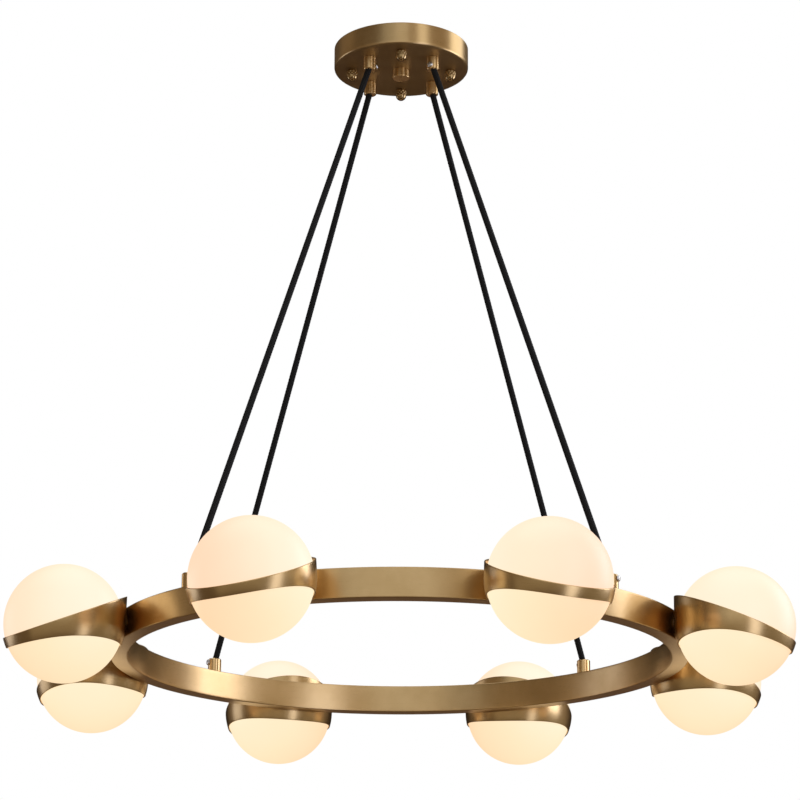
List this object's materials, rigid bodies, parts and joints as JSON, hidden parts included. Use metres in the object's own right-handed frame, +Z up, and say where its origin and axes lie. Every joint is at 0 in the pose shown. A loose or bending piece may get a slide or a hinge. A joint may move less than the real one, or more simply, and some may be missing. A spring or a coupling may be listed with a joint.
{
  "type": "chandelier",
  "caption": "Round chandelier: opal globes in slant-cut brass cups around a hollow brass ring, hung from a round ceiling canopy on taut black cords.",
  "frame": {"origin": "middle of the ceiling plane, on the axis of the canopy and the ring", "axes": "+Z up, square to the ceiling; +X along the two slots of the bracket"},
  "size_m": [0.7964, 0.7962, 0.75],
  "materials": {
    "brass": "satin, finely brushed",
    "opal_glass": "matte opal, lit from inside",
    "black_braid": "braided",
    "silver_steel": "bright",
    "zinc_steel": "zinc plated",
    "white_ceramic": "matte",
    "bulb_white": "frosted",
    "block_plastic": "moulded",
    "wire_sheath": "smooth"
  },
  "bodies": {
    "fixture": {"canopy": "brass", "centre_hub": "brass", "ring": "brass", "saddles": "brass", "cord_gland_1": "brass", "cord_gland_2": "brass", "cord_gland_3": "brass", "cord_gland_4": "brass", "ring_socket_1": "brass", "ring_socket_2": "brass", "ring_socket_3": "brass", "ring_socket_4": "brass", "cup_1": "brass", "cup_2": "brass", "cup_3": "brass", "cup_4": "brass", "cup_5": "brass", "cup_6": "brass", "cup_7": "brass", "cup_8": "brass", "lower_glass_1": "opal_glass", "lower_glass_2": "opal_glass", "lower_glass_3": "opal_glass", "lower_glass_4": "opal_glass", "lower_glass_5": "opal_glass", "lower_glass_6": "opal_glass", "lower_glass_7": "opal_glass", "lower_glass_8": "opal_glass", "cord_1": "black_braid", "cord_2": "black_braid", "cord_3": "black_braid", "cord_4": "black_braid", "gland_set_screws": "silver_steel", "socket_set_screws": "silver_steel", "mounting_bracket": "zinc_steel", "bracket_studs": "zinc_steel", "gland_nuts": "zinc_steel", "hub_nut": "zinc_steel", "nipples": "zinc_steel", "lamp_holders": "white_ceramic", "bulbs": "bulb_white", "terminal_block": "block_plastic", "canopy_leads": "wire_sheath", "ring_harness": "wire_sheath"},
    "nut_1": {"canopy_nut_1": "brass"},
    "nut_2": {"canopy_nut_2": "brass"},
    "nut_3": {"canopy_nut_3": "brass"},
    "nut_4": {"canopy_nut_4": "brass"},
    "dome_1": {"upper_glass_1": "opal_glass"},
    "dome_2": {"upper_glass_2": "opal_glass"},
    "dome_3": {"upper_glass_3": "opal_glass"},
    "dome_4": {"upper_glass_4": "opal_glass"},
    "dome_5": {"upper_glass_5": "opal_glass"},
    "dome_6": {"upper_glass_6": "opal_glass"},
    "dome_7": {"upper_glass_7": "opal_glass"},
    "dome_8": {"upper_glass_8": "opal_glass"}
  },
  "joints": [
    {"name": "nut_1_turn", "type": "hinge", "parent": "fixture", "child": "nut_1", "pos_m": [0.055, 0, -0.025], "axis": [0, 0, 1], "continuous": true},
    {"name": "nut_2_turn", "type": "hinge", "parent": "fixture", "child": "nut_2", "pos_m": [0, 0.055, -0.025], "axis": [0, 0, 1], "continuous": true},
    {"name": "nut_3_turn", "type": "hinge", "parent": "fixture", "child": "nut_3", "pos_m": [-0.055, 0, -0.025], "axis": [0, 0, 1], "continuous": true},
    {"name": "nut_4_turn", "type": "hinge", "parent": "fixture", "child": "nut_4", "pos_m": [0, -0.055, -0.025], "axis": [0, 0, 1], "continuous": true},
    {"name": "dome_1_lift", "type": "slide", "parent": "fixture", "child": "dome_1", "axis": [0.3826, 0.0889, 0.9196], "range_m": [0, 0.09]},
    {"name": "dome_2_lift", "type": "slide", "parent": "fixture", "child": "dome_2", "axis": [0.1929, 0.3396, 0.9206], "range_m": [0, 0.09]},
    {"name": "dome_3_lift", "type": "slide", "parent": "fixture", "child": "dome_3", "axis": [-0.1483, 0.358, 0.9219], "range_m": [0, 0.09]},
    {"name": "dome_4_lift", "type": "slide", "parent": "fixture", "child": "dome_4", "axis": [-0.358, 0.1483, 0.9219], "range_m": [0, 0.09]},
    {"name": "dome_5_lift", "type": "slide", "parent": "fixture", "child": "dome_5", "axis": [-0.3211, -0.2373, 0.9168], "range_m": [0, 0.09]},
    {"name": "dome_6_lift", "type": "slide", "parent": "fixture", "child": "dome_6", "axis": [-0.2077, -0.3334, 0.9196], "range_m": [0, 0.09]},
    {"name": "dome_7_lift", "type": "slide", "parent": "fixture", "child": "dome_7", "axis": [0.178, -0.3457, 0.9213], "range_m": [0, 0.09]},
    {"name": "dome_8_lift", "type": "slide", "parent": "fixture", "child": "dome_8", "axis": [0.3703, -0.1186, 0.9213], "range_m": [0, 0.09]}
  ]
}
